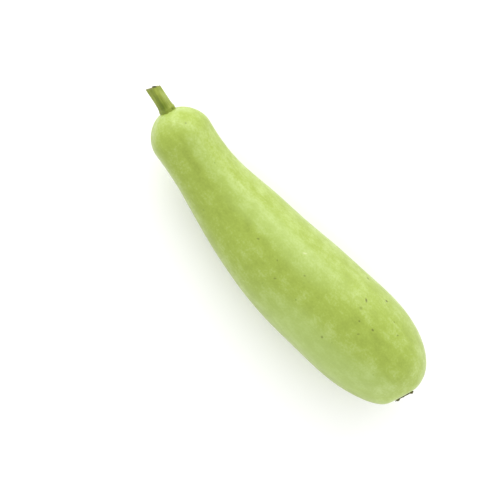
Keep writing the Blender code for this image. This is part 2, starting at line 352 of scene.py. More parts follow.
# A scrape that has healed to pale cork
SCRAPE = (167.2, 62.5, 4.6, 1.7, -38, 0.5)
# Step, in metres and in radians, that finds the directions of the skin at a mark
NEARBY = 1e-4


def mark_frame(mark):
    """Middle of a mark and its lengthwise, crosswise and outward directions, unshifted."""
    along, angle = mark[0] * MM, math.radians(mark[1])
    grid = np.array([along, along + NEARBY, along]), np.array([angle, angle, angle + NEARBY])
    middle, ahead, beside = smooth_skin(*grid)
    ahead = unit(ahead - middle)
    out = unit(np.cross(beside - middle, ahead))
    turn = math.radians(mark[4])
    length = math.cos(turn) * ahead + math.sin(turn) * np.cross(ahead, out)
    return middle, length, np.cross(out, length), out


print(len(MARKS), "marks; the first faces", mark_frame(MARKS[0])[3].round(2))

# %% [markdown]
# ## Unevenness
# No gourd is as smooth as its formula. Broad shallow dents come from a seeded draw, so that
# each run gives the same ones. Short folds run out from the stem and from the blossom scar,
# where the skin was drawn together. Each mark is a small pit.

# %% Unevenness, in metres outwards
DENTS, DENT_SEED = 90, 7
DENT_WIDTHS = (6 * MM, 20 * MM)
DENT_DEPTHS = (-0.08 * MM, 0.18 * MM)
# Number of folds, their depth and their reach
STEM_FOLDS = (10, 0.12 * MM, 20 * MM)
SCAR_FOLDS = (12, 0.20 * MM, 8 * MM)
FEWER_FOLDS, SECOND_PHASE = 3, 1.0
# How deep a full mark is, and how far above and below the skin it reaches
PIT_DEPTH = 0.22 * MM
PIT_REACH = 2 * MM


def soft_dents(points):
    """Sum of bell curves round random points of the skin: most sink it, some raise it."""
    draw = np.random.default_rng(DENT_SEED)
    spots = smooth_skin(draw.uniform(0, FRUIT_LENGTH, DENTS), draw.uniform(0, 2 * np.pi, DENTS))
    total = np.zeros(points.shape[:2])
    for spot in spots:
        width, depth = draw.uniform(*DENT_WIDTHS), draw.uniform(*DENT_DEPTHS)
        total -= depth * np.exp(-(((points - spot) / width) ** 2).sum(axis=-1))
    return total


def end_folds(points, seat, angle, count, depth, reach):
    """Two waves round a seat, fading with the distance from it as a bell curve does.

    The second wave has fewer folds and half the depth.
    """
    away = np.linalg.norm(points - seat, axis=-1)
    second = np.cos((count - FEWER_FOLDS) * angle + SECOND_PHASE) / 2
    return depth * (np.cos(count * angle) + second) * np.exp(-((away / reach) ** 2))


def mark_pits(points):
    """A pit at each mark: a bell curve over the mark's own length and width."""
    total = np.zeros(points.shape[:2])
    for mark in MARKS + (SCRAPE,):
        middle, length, width, out = mark_frame(mark)
        away = points - middle
        oval = (away @ length / (mark[2] * MM / 2)) ** 2 + (away @ width / (mark[3] * MM / 2)) ** 2
        total -= PIT_DEPTH * mark[5] * np.exp(-oval - (away @ out / PIT_REACH) ** 2)
    return total


def surface_normals(points):
    """Outward normals of a grid of rings, from its differences along and round."""
    along = np.gradient(points, axis=0)
    around = np.roll(points, -1, axis=1) - np.roll(points, 1, axis=1)
    return unit(np.cross(around, along))


print(DENTS, "dents, and pits down to", round(PIT_DEPTH / MM, 2), "mm")

# %% [markdown]
# ## Streaks along the fruit, with painted light and shade
# A gourd is striped lengthwise, very faintly: the rind over each row of veins is greener. The
# same streaks also carry painted light and shade: a paler band high on the +Y flank is a painted
# lit side and sheen, a darker band just past the top of the neck is painted shade, a paler place
# on the belly's -Y flank is a painted floor reflection, and a dark streak low on the -Y side of
# the blossom half is painted shade along the underside. Such streaks follow the fruit round its
# bends, which a pattern in plain coordinates can't do. So their tone is worked out for each
# point from its place along and round the fruit, and kept in the mesh as an attribute that the
# finish reads. A second attribute says in the same way where the green is painted cooler and
# greyer: painted sheen high on the +Y flank and a painted floor reflection on the belly.

# %% Streaks and painted light
# Among these, the pale ones from 62 to 84 degrees near the neck are a painted lit side and sheen,
# the dark one at 104 is painted shade, the pale one at 152 is a painted floor reflection, and the
# last one is painted shade along the underside; the rest are the rind's own streaks.
# Degrees round the fruit at its stem end, how wide on the lower and on the upper side in
# degrees, first and last millimetre, and tone
STREAKS_AND_PAINTED_LIGHT = (
    (62, 52, 33, 22, 240, 0.62), (84, 20, 9, 26, 95, 0.75), (66, 22, 16, 28, 66, 0.50),
    (66, 12, 12, 140, 185, 0.25), (73, 18, 18, 88, 130, -0.25), (46, 14, 14, 238, 285, 0.45),
    (93, 10, 10, 235, 262, 0.30), (123, 12, 12, 180, 262, -0.35), (104, 6, 12, 14, 290, -0.80),
    (152, 22, 22, 185, 305, 0.60), (134, 16, 16, 10, 110, -0.15), (84, 10, 12, 215, 285, -0.35),
    (188, 12, 12, 120, 290, -0.30), (212, 14, 14, 30, 260, 0.45),
    (240, 10, 10, 20, 300, -0.55), (264, 15, 15, 60, 240, 0.50), (286, 9, 9, 15, 180, -0.50),
    (308, 14, 14, 130, 300, 0.45), (330, 10, 10, 20, 290, -0.45), (200, 14, 9, 270, 335, -1.6),
)
# Where the green is cooler, in the same order; here the last number is the share of it. This is
# painted reflection: a painted floor reflection on the belly and painted sheen high on the flank
PAINTED_REFLECTION_STREAKS = ((161, 26, 30, 170, 305, 0.50), (84, 18, 18, 90, 205, 0.35),
                (80, 14, 14, 28, 75, 0.30))
STREAK_FADE = 12 * MM
STREAK_SWAY, STREAK_SWAY_LENGTH = math.radians(3), 95 * MM
# How far the streaks wind back round the fruit from end to end
STREAK_WINDING = math.radians(36)
# The paler stem end is a painted highlight on the shoulder; the blossom end is a little paler
PALE_ENDS_AND_HIGHLIGHT = ((0.0, 10 * MM, 1.6), (FRUIT_LENGTH, 14 * MM, 0.35))


def streaks_at(along, angle, streaks):
    """Sum of streaks: a flat-topped bump round the fruit times a smooth rise and fall along it.

    A bump falls as exp of minus the fourth power, each side by its own width. Its middle winds
    back evenly along the fruit and sways as a sine.
    """
    total = np.zeros_like(along)
    for middle, lower, upper, first, last, tone in streaks:
        sway = STREAK_SWAY * np.sin(2 * np.pi * along / STREAK_SWAY_LENGTH + middle)
        centre = math.radians(middle) - STREAK_WINDING * along / FRUIT_LENGTH + sway
        off = np.angle(np.exp(1j * (angle - centre)))
        off = off / np.radians(np.where(off > 0, upper, lower))
        rise = 1 / (1 + np.exp(-(along - first * MM) / STREAK_FADE))
        fall = 1 / (1 + np.exp((along - last * MM) / STREAK_FADE))
        total += tone * rise * fall * np.exp(-(off**4))
    return total


def streak_and_light_tone(along, angle):
    """The streaks, and both ends of the fruit paler as a bell curve of the distance from them; the
    paler stem end is a painted highlight on its shoulder.
    """
    total = streaks_at(along, angle, STREAKS_AND_PAINTED_LIGHT)
    for end, reach, tone in PALE_ENDS_AND_HIGHLIGHT:
        total += tone * np.exp(-(((along - end) / reach) ** 2))
    return total


print(len(STREAKS_AND_PAINTED_LIGHT), "streaks and", len(PAINTED_REFLECTION_STREAKS), "cooler places")

# %% [markdown]
# ## The fruit
# Now its parts come together: the smooth skin is moved outwards and inwards by the dents,
# folds and pits, and nothing may sink below the surface that the gourd lies on.

# %% Fruit


def make_fruit_skin():
    """The smooth skin moved along its normals, and nothing below the surface it rests on."""
    angle = fruit_grid[1]
    relief = soft_dents(skin_points) + mark_pits(skin_points)
    relief += end_folds(skin_points, STEM_SEAT, angle, *STEM_FOLDS)
    relief += end_folds(skin_points, SCAR_SEAT, angle, *SCAR_FOLDS)
    rings = skin_points + relief[..., None] * surface_normals(skin_points)
    rings[..., 2] = np.maximum(rings[..., 2], 0)
    print("relief", (relief.min() / MM).round(2), "to", (relief.max() / MM).round(2), "mm")
    made = closed_piece("fruit_skin", closed_shell(rings, *skin_ends))
    tones = {"streak_and_light_tone": streak_and_light_tone(*fruit_grid),
             "painted_reflection_tone": streaks_at(*fruit_grid, PAINTED_REFLECTION_STREAKS)}
    for name, tone in tones.items():
        keep_tone(made, name, tone, tone[0].mean(), tone[-1].mean())
    return made


fruit = make_fruit_skin()

# %% [markdown]
# ## The stem
# A gourd's stem is five-edged, ribbed lengthwise and a little hairy, and it flares where it
# grows from the fruit. This one was cut on a slant with a knife and tore half way through,
# which left a step. A turned cylinder would look like a peg. So the section is a pentagon with
# rounded corners, carried along the stem with a slight twist and bow, and fine ribs are added.

# %% Stem section and cut
STEM_LENGTH, STEM_RADIUS, STEM_SINK = 21.6 * MM, 5.9 * MM, 4 * MM
STEM_EDGES, STEM_EDGE_SHARPNESS, STEM_EDGE_POWER = 5, 0.75, 16
STEM_TWIST = math.radians(12)
STEM_FLARE, STEM_FLARE_LENGTH = 0.16, 2.2 * MM
STEM_BOW = 0.6 * MM
STEM_CUT_SLOPE, STEM_CUT_RISE, STEM_CUT_STEP = 0.41, 0.30, 1.2 * MM
STEM_STEP_SIDE, STEM_STEP_SOFTNESS = 0.7 * MM, 0.2 * MM
STEM_RIBS = ((10, 0.12 * MM), (23, 0.07 * MM), (41, 0.04 * MM))
RIB_SWAY, RIB_SWAY_LENGTH = 0.1, 7 * MM


def stem_section(angle):
    """Radius over STEM_RADIUS: a polygon rounded by a power mean of the ways to its flats."""
    slice_angle = 2 * np.pi / STEM_EDGES
    flats = (np.arange(STEM_EDGES) + 0.5) * slice_angle
    facing = np.maximum(np.cos(angle[..., None] - flats), 0)
    polygon = math.cos(slice_angle / 2) / (facing**STEM_EDGE_POWER).sum(-1)**(1 / STEM_EDGE_POWER)
    return 1 + STEM_EDGE_SHARPNESS * (polygon - polygon.mean())


def stem_top(x, y):
    """Height of the cut end: a slope across the stem both ways, with a torn step in it."""
    step = STEM_CUT_STEP / (1 + np.exp(-(x - STEM_STEP_SIDE) / STEM_STEP_SOFTNESS))
    return STEM_LENGTH + STEM_CUT_SLOPE * x + STEM_CUT_RISE * y - step


def stem_ribs(angle, height):
    """Sum of cosines round the stem, whose ridges sway a little on their way up."""
    swayed = angle + RIB_SWAY * np.sin(height / RIB_SWAY_LENGTH)
    return sum(depth * np.cos(count * swayed) for count, depth in STEM_RIBS)


print("stem with", STEM_EDGES, "edges and", len(STEM_RIBS), "waves of ribs")

# %% [markdown]
# The cut end is not flat either. The pith has dried back below the rim, and a ring of tougher
# strands, one near each edge and one between, stands a little proud of it.

# %% Cut face
STEM_RINGS, STEM_CAP_RINGS, STEM_SIDES = 110, 34, 220
RIM_WIDTH, RIM_HEIGHT = 0.10, 0.25 * MM
STRANDS, STRAND_RING, STRAND_WIDTH, STRAND_HEIGHT = 10, 0.72, 0.09, 0.35 * MM
PITH_DEPTH = 0.9 * MM
TEAR_DEPTH, TEARS = 0.12 * MM, (17, 29, 47)


def cut_relief(share, angle):
    """Pith sunk as a bowl, a rim round it, a bump for each strand and small tears."""
    bowl = -PITH_DEPTH * (1 - share**2) ** 2
    rim = RIM_HEIGHT * np.exp(-(((1 - share) / RIM_WIDTH) ** 2))
    beat = np.maximum(np.cos(STRANDS * angle), 0) ** 2
    strand = STRAND_HEIGHT * beat * np.exp(-(((share - STRAND_RING) / STRAND_WIDTH) ** 2))
    tears = sum(np.sin(count * angle + count * share) for count in TEARS) * share**2
    return bowl + rim + strand + TEAR_DEPTH * tears / len(TEARS)


# The deep green places, partly painted shade on the shaded side and at the foot, and the pale
# ones, a painted highlight on the lit side: millimetres up the stem, degrees round it, their
# reach both ways and how strong they are
DEEP_GREEN_AND_SHADE_PLACES = ((4, 70, 6, 40, 0.95), (14, 62, 8, 24, 0.35), (-1.6, 126, 1.3, 13, 1.0),
               (5, 230, 5, 30, 0.3), (12, 300, 7, 30, 0.4))
# Painted highlight: the pale places lie on the side of the stem that faces the key light
PAINTED_HIGHLIGHT_PLACES = ((11, 136, 7, 24, 0.28), (12, 250, 6, 25, 0.15))
# How far drying reaches down from the cut, and the torn spot beside the step
DRY_REACH, TORN_REACH, TORN_SIDE = 1.1 * MM, 1.5 * MM, -1.0 * MM
# Tones that are full at the middle of the cut, where the others are 0
FULL_AT_CUT = ("drying", "pith")


def places_on_stem(x, y, height, places):
    """Sum of bell curves of the distance up and round the stem from the middle of each place."""
    total = np.zeros_like(height)
    angle = np.arctan2(y, x)
    for up, around, tall, wide, strength in places:
        off = np.angle(np.exp(1j * (angle - math.radians(around)))) / math.radians(wide)
        total += strength * np.exp(-(((height - up * MM) / (tall * MM)) ** 2) - off**2)
    return total


def stem_wear(x, y, height):
    """How dried and how torn the stem is at each place.

    Drying falls off as a bell curve of the distance below the cut. The torn spot is a
    flat-topped bell, as exp of minus the fourth power, of that distance and of the way
    sideways from its middle.
    """
    below = np.maximum(stem_top(x, y) - height, 0)
    dry = np.exp(-((below / DRY_REACH) ** 2))
    torn = np.exp(-(((x - TORN_SIDE) / TORN_REACH) ** 4) - (below / TORN_REACH) ** 4)
    return dry, torn


def make_stem():
    """Rings up the side, then rings across the cut, each point moved by its own relief."""
    axis, side, up = STEM_WAYS
    angle = ring_angles(STEM_SIDES)
    section = STEM_RADIUS * stem_section(angle)
    share = np.linspace(0, 1, STEM_RINGS)[:, None]
    turned = angle + STEM_TWIST
    rim = stem_top(section * np.cos(turned), section * np.sin(turned)) + cut_relief(1.0, angle)
    height = -STEM_SINK + share * (rim + STEM_SINK)
    flare = 1 + STEM_FLARE * np.exp(-np.maximum(height, 0) / STEM_FLARE_LENGTH)
    radius = section * flare + stem_ribs(angle, height)
    turn = angle + STEM_TWIST * height / STEM_LENGTH
    x, y = radius * np.cos(turn), radius * np.sin(turn)
    inner = np.linspace(1, 0, STEM_CAP_RINGS, endpoint=False)[1:, None]
    x, y = np.vstack([x, inner * x[-1]]), np.vstack([y, inner * y[-1]])
    cut = stem_top(x[STEM_RINGS:], y[STEM_RINGS:]) + cut_relief(inner, angle)
    height = np.vstack([height, cut])
    dry, torn = stem_wear(x, y, height)
    pith = np.vstack([np.zeros_like(turn), (1 - inner**2) * np.ones_like(cut)])
    # Deep green that is partly painted shade, and a painted highlight, kept as tones of the mesh
    tones = {"deep_green_and_shade": places_on_stem(x, y, height, DEEP_GREEN_AND_SHADE_PLACES),
             "painted_highlight": places_on_stem(x, y, height, PAINTED_HIGHLIGHT_PLACES),
             "drying": dry, "torn": torn, "pith": pith}
    x = x + STEM_BOW * (height / STEM_LENGTH) ** 2
    rings = STEM_SEAT + x[..., None] * side + y[..., None] * up + height[..., None] * axis
    tip = STEM_SEAT + axis * (stem_top(0.0, 0.0) - PITH_DEPTH) + side * STEM_BOW
    made = closed_piece("stem_stub", closed_shell(rings, STEM_SEAT - axis * STEM_SINK, tip))
    for name, tone in tones.items():
        keep_tone(made, name, tone, 0, float(name in FULL_AT_CUT))
    return made


stem = make_stem()

# %% [markdown]
# ## The blossom scar
# Where the flower sat, a button of dried tissue is left: a torn dark rim, a crumpled fibrous
# middle and a few curled wisps. It could be a flat disc with a picture of fibres, but its rim
# shows against the light in every side view. So it is a shallow dish with real fibres.

# %% Scar outline and dish
SCAR_LENGTH, SCAR_WIDTH, SCAR_SINK = 16.5 * MM, 14.0 * MM, 4 * MM
SCAR_FOOT_SHARE, SCAR_WALL_POWER = 0.82, 1.5
SCAR_FLOOR_HEIGHT, SCAR_RIM_HEIGHT = 0.3 * MM, 0.5 * MM
SCAR_RIM_TEARS = ((7, 0.14, 1.0), (12, 0.13, 0.3), (31, 0.08, 2.0), (53, 0.05, 0.5))
SCAR_EDGE_TEARS = ((5, 0.035, 0.6), (9, 0.025, 2.1), (14, 0.021, 0.0), (37, 0.012, 1.2))
SCAR_RIM_STEEPNESS = 6
# Waves across the dish, their height in millimetres and their sway
SCAR_FIBRES = ((5, 0.20, 1.3), (11, 0.12, 2.9), (19, 0.07, 4.1))
FIBRE_END_POWER = 20
SCAR_RINGS, SCAR_WALL_RINGS, SCAR_SIDES = 70, 14, 260


def tear_waves(angle, tears):
    """Sum of sine waves round a circle, each with its count, its strength and its phase."""
    return sum(strength * np.sin(count * angle + phase) for count, strength, phase in tears)


def scar_outline(angle):
    """Ragged oval: its reach from the middle at each angle, with a torn edge."""
    oval = 1 / np.hypot(np.cos(angle) / (SCAR_LENGTH / 2), np.sin(angle) / (SCAR_WIDTH / 2))
    return oval * (1 + tear_waves(angle, SCAR_EDGE_TEARS))


def scar_dish(share, angle, rim):
    """Height inside the rim: a floor of swaying fibres that turns up steeply at the edge."""
    x, y = share * np.cos(angle), share * np.sin(angle)
    fibres = sum(depth * np.cos(2 * np.pi * count * y + sway * (x + x * y))
                 for count, depth, sway in SCAR_FIBRES)
    raised = share**SCAR_RIM_STEEPNESS
    floor = SCAR_FLOOR_HEIGHT + MM * fibres * (1 - share**FIBRE_END_POWER)
    return raised * rim + (1 - raised) * floor


print("scar", round(SCAR_LENGTH / MM, 1), "by", round(SCAR_WIDTH / MM, 1), "mm")

# %% [markdown]
# The wisps are what is left of the flower's tips. Each is a thin crumpled tube that tapers
# to a tenth of its width and curls as it dries.

# %% Wisps
# Degrees round the rim, length in mm, degrees that the tip curls round, thickness in mm, and
# how many mm out on the skin it grows
WISPS = ((36, 1.2, 40, 3.4, 0.5), (144, 1.1, -35, 3.6, 0.5), (205, 1.4, -70, 1.0, 0),
         (262, 1.2, 55, 0.9, 0), (318, 1.5, 45, 1.0, 0), (22, 0.9, -30, 1.3, 0.4),
         (98, 1.1, 30, 0.9, 0))
WISP_LEAN = 1.2
WISP_ROOT = 0.8 * MM
# How much lower a wisp grows for each step that it grows further out
WISP_DROP = 0.25
WISP_BLUNTNESS = 0.01
WISP_EDGES, WISP_CRUMPLE, WISP_CREASES = 3, 0.22, 9
WISP_RINGS, WISP_SIDES = 18, 14


def make_wisp(place, length, curl, thickness, out):
    """Tube along a path whose heading turns evenly by the curl.

    Its radius falls as the root of 1 less share squared, down to the root of the bluntness.
    """
    axis, side, up = SCAR_WAYS
    place, curl = math.radians(place), math.radians(curl)
    outwards = math.cos(place) * side + math.sin(place) * up
    beside = math.cos(place) * up - math.sin(place) * side
    start = unit(axis + WISP_LEAN * outwards)
    share = np.linspace(0, 1, WISP_RINGS)[:, None]
    heading = np.cos(curl * share) * start + np.sin(curl * share) * beside
    step = (length * MM + WISP_ROOT) / (WISP_RINGS - 1)
    edge = scar_outline(np.array(place)) - WISP_ROOT / 2 + out * MM
    root = SCAR_SEAT + edge * outwards + (SCAR_RIM_HEIGHT - WISP_ROOT - WISP_DROP * out * MM) * axis
    path = root + np.cumsum(heading * step, axis=0)
    across = unit(np.cross(heading, outwards))
    other = np.cross(heading, across)
    radius = (thickness * MM / 2 * np.sqrt(1 - share**2 + WISP_BLUNTNESS))[..., None]
    turn = ring_angles(WISP_SIDES)[None, :, None]
    crumple = WISP_CRUMPLE * np.sin(WISP_EDGES * turn + WISP_CREASES * share[..., None])
    around = np.cos(turn) * across[:, None] + np.sin(turn) * other[:, None]
    rings = path[:, None] + radius * (1 + crumple) * around
    return closed_shell(rings, path[0], path[-1] + heading[-1] * step / 2)


def make_scar():
    """Rings up the outer wall to the torn rim, then inwards over the dish, and the wisps."""
    axis, side, up = SCAR_WAYS
    angle = ring_angles(SCAR_SIDES)
    edge = scar_outline(angle)
    rim = SCAR_RIM_HEIGHT + MM * tear_waves(angle, SCAR_RIM_TEARS)
    up_wall = np.linspace(0, 1, SCAR_WALL_RINGS)[:, None]
    wall_height = -SCAR_SINK + up_wall * (rim + SCAR_SINK)
    spread = (np.maximum(wall_height, 0) / rim) ** SCAR_WALL_POWER
    wall_reach = edge * (SCAR_FOOT_SHARE + (1 - SCAR_FOOT_SHARE) * spread)
    share = np.linspace(1, 0, SCAR_RINGS, endpoint=False)[1:, None]
    reach = np.vstack([wall_reach, share * edge])
    height = np.vstack([wall_height, scar_dish(share, angle, rim)])
    x, y = reach * np.cos(angle), reach * np.sin(angle)
    rings = SCAR_SEAT + x[..., None] * side + y[..., None] * up + height[..., None] * axis
    middle = SCAR_SEAT + axis * height[-1].mean()
    shells = [closed_shell(rings, SCAR_SEAT - axis * SCAR_SINK, middle)]
    shells += [make_wisp(*wisp) for wisp in WISPS]
    return closed_piece("dried_scar", *shells)


scar = make_scar()

# %% [markdown]
# ## Finishes
# A finish starts from what the surface is. Four small helpers are enough: one turns an sRGB
# hex colour to linear light, one adds a node with its settings and links, one starts a
# material, and one lays colours over each other as coats of paint.

# %% Material helpers


def linear(hex_colour):
    """RGBA in linear light from an sRGB hex value: a straight toe, then a power of 2.4."""
    parts = [int(hex_colour[i:i + 2], 16) / 255 for i in (0, 2, 4)]
    return [c / 12.92 if c <= 0.04045 else ((c + 0.055) / 1.055) ** 2.4 for c in parts] + [1]


def add(tree, kind, inputs=None, **settings):
    """Adds a node, sets its settings, and gives its inputs values or links to other outputs."""
    node = tree.nodes.new("ShaderNode" + kind)
    for name, value in settings.items():
        setattr(node, name, value)
    for socket, value in (inputs or {}).items():
        if isinstance(value, bpy.types.NodeSocket):
            tree.links.new(value, node.inputs[socket])
        else:
            node.inputs[socket].default_value = value
    return node


def new_material(name, **values):
    """Material with a Principled shader whose own sockets hold the values, and its node tree."""
    material = bpy.data.materials.new(name)
    material.use_nodes = True
    shader = material.node_tree.nodes["Principled BSDF"]
    for socket, value in values.items():
        shader.inputs[socket.replace("_", " ")].default_value = value
    return material, material.node_tree, shader


def paint_coats(tree, colour, coats):
    """Lays colours over a first one in turn, each as far as its own shade says."""
    for shade, paint in coats:
        colour = add(tree, "Mix", {0: shade, 6: colour, 7: linear(paint)},
                     data_type="RGBA").outputs[2]
    return colour


print("middle grey in linear light", round(linear("808080")[0], 3))

# %% [markdown]
# ### Waxy gourd skin
# The living rind of a bottle gourd is a thin waxy cuticle over pale green cells. Wax on a
# plant has an index of refraction of about 1.42 and is neither matt nor glossy. The colour is
# cloudy: patches about 8 mm wide, drawn out a little lengthwise, and rounded pale blotches lie
# over broader clouds of 35 mm, with a grain of about 2 mm and faint veins that run from end to
# end. Noise on the object's own coordinates gives all of these with no seam.

# %% Skin clouds
# The last colour is the cooler green of painted sheen and painted floor reflection
SKIN_DARK, SKIN_MID, SKIN_PALE, SKIN_REFLECTION_PAINT = "5C6800", "92A541", "B5C77E", "A6BB70"
PATCH_SIZE, CLOUD_SIZE, GRAIN_SIZE, VEIN_SIZE = 8 * MM, 35 * MM, 1.8 * MM, 3 * MM
BLOTCH_SIZE = 11 * MM
PATCH_STRETCH, VEIN_STRETCH = 0.75, 0.08
# How far each part moves the mix from the middle green, of which 1 is all the way
PATCH_TONE, CLOUD_TONE, GRAIN_TONE, VEIN_TONE, BLOTCH_TONE = 0.18, 0.10, 0.20, 0.08, 0.09
# How far the streaks, with their painted light and shade, move the mix
STREAK_AND_LIGHT_STRENGTH = 0.22
# Noise mostly stays in its range; a blotch goes from its rim to its middle
NOISE_RANGE, BLOTCH_RANGE = (0.3, 0.7), (0.75, 0.15)
NOISE_ROUGHNESS, BLOTCH_SMOOTHNESS = 0.55, 0.6
# The sum of all parts at which the rind is the dark green and nothing else
ALL_DARK = -2


def skin_clouds(tree, place):
    """Dark, middle and pale green, mixed by the sum of noises, rounded blotches and streaks with
    their painted light and shade, then the cooler green of painted reflection.
    """
    # The streak tone holds the rind's own streaks and painted light and shade
    streaks_and_light = add(tree, "Attribute", attribute_name="streak_and_light_tone").outputs["Fac"]
    total = add(tree, "Math", {0: streaks_and_light, 1: STREAK_AND_LIGHT_STRENGTH}, operation="MULTIPLY").outputs[0]
    parts = []
    for size, stretch, detail, tone in ((PATCH_SIZE, PATCH_STRETCH, 1.0, PATCH_TONE),
                                        (CLOUD_SIZE, 1, 1.0, CLOUD_TONE),
                                        (VEIN_SIZE, VEIN_STRETCH, 2.0, VEIN_TONE),
                                        (GRAIN_SIZE, 1, 3.0, GRAIN_TONE)):
        drawn_out = add(tree, "Mapping", {"Vector": place, "Scale": (stretch, 1, 1)})
        noise = add(tree, "TexNoise", {"Vector": drawn_out.outputs[0], "Scale": 1 / size,
                                       "Detail": detail, "Roughness": NOISE_ROUGHNESS})
        parts.append((noise.outputs[0], *NOISE_RANGE, tone))
    blotches = add(tree, "TexVoronoi", {"Vector": place, "Scale": 1 / BLOTCH_SIZE,
                                        "Smoothness": BLOTCH_SMOOTHNESS},
                   feature="SMOOTH_F1")
    parts.append((blotches.outputs["Distance"], *BLOTCH_RANGE, BLOTCH_TONE))
    for value, low, high, tone in parts:
        lift = add(tree, "MapRange", {"Value": value, "From Min": low, "From Max": high,
                                      "To Min": -tone, "To Max": tone})
        total = add(tree, "Math", {0: total, 1: lift.outputs[0]}, operation="ADD").outputs[0]
    lighter = add(tree, "MapRange", {"Value": total, "From Min": ALL_DARK, "From Max": 0})
    paler = add(tree, "MapRange", {"Value": total})
    # Painted reflection: the cooler green where sheen and the floor's reflection are painted
    painted_reflection = add(tree, "Attribute", attribute_name="painted_reflection_tone")
    coats = ((lighter.outputs[0], SKIN_MID), (paler.outputs[0], SKIN_PALE),
             (painted_reflection.outputs["Fac"], SKIN_REFLECTION_PAINT))
    return paint_coats(tree, linear(SKIN_DARK), coats), total


print("mid green in linear light", [round(c, 3) for c in linear(SKIN_MID)])

# %% [markdown]
# The marks from the list are painted by giving each one its own little coordinate frame: a
# Mapping node of type Texture moves, turns and scales the place so that the ellipse becomes a
# ball of radius 1. Smaller specks are the middles of Voronoi cells that the skin passes near.
# Round the scar the rind is drying, which a soft brownish ring shows.

# %% Marks and specks in the skin
MARK_HEX, SCRAPE_HEX, SPECK_HEX, HALO_HEX = "5A5C20", "CFD2A0", "7A9038", "BFB173"
# Shares of its reach at which a mark begins to show and is at its full strength
MARK_RIM, MARK_CORE = 1.4, 0.3
MARK_WOBBLE = 0.5 * MM
SPECK_SPACING, SPECK_RADIUS, SPECK_CORE = 13 * MM, 1.0 * MM, 0.4
HALO_RADIUS, HALO_SOFTNESS = 9.5 * MM, 2.0 * MM


def mark_shade(tree, place, mark):
    """The mark's strength inside its ellipse, falling smoothly to 0 round its edge."""
    middle, length, width, out = mark_frame(mark)
    turn = Matrix((length, width, out)).transposed().to_euler()
    local = add(tree, "Mapping", {"Vector": place, "Location": middle + SHIFT, "Rotation": turn,
                                  "Scale": (mark[2] * MM / 2, mark[3] * MM / 2, PIT_REACH)},
                vector_type="TEXTURE")
    away = add(tree, "VectorMath", {0: local.outputs[0]}, operation="LENGTH")
    shade = add(tree, "MapRange", {"Value": away.outputs["Value"], "From Min": MARK_RIM,
                                   "From Max": MARK_CORE, "To Max": mark[5]},
                interpolation_type="SMOOTHSTEP")
    return shade.outputs[0]


def speck_shade(tree, place):
    """Voronoi cells a SPECK_SPACING wide; a speck is where the skin passes close to a middle."""
    cells = add(tree, "TexVoronoi", {"Vector": place, "Scale": 1 / SPECK_SPACING})
    reach = SPECK_RADIUS / SPECK_SPACING
    spot = add(tree, "MapRange", {"Value": cells.outputs["Distance"], "From Min": reach,
                                  "From Max": reach * SPECK_CORE},
               interpolation_type="SMOOTHSTEP")
    chance = add(tree, "SeparateColor", {0: cells.outputs["Color"]})
    return add(tree, "Math", {0: spot.outputs[0], 1: chance.outputs[0]},
               operation="MULTIPLY").outputs[0]


def largest(tree, shades):
    """The largest of several shades at each place."""
    total = shades[0]
    for shade in shades[1:]:
        total = add(tree, "Math", {0: total, 1: shade}, operation="MAXIMUM").outputs[0]
    return total


print("specks up to", 2 * SPECK_RADIUS / MM, "mm wide")

# %% [markdown]
# Bump only carries what is too fine for the mesh: dimples 4 mm wide, the pits of the specks,
# and the pores of the cuticle, which are drawn about 1 mm wide, because real ones wouldn't
# show. Wax lies unevenly, so the roughness varies with the clouds.

# %% Skin material
PORE_SIZE, PORE_DEPTH = 0.9 * MM, 0.03 * MM
DIMPLE_SIZE, DIMPLE_DEPTH = 4 * MM, 0.10 * MM
SPECK_DEPTH = 0.15 * MM
# Roughness of the darkest and of the palest clouds
ROUGH, SMOOTH, CLOUD_REACH = 0.42, 0.34, 0.3


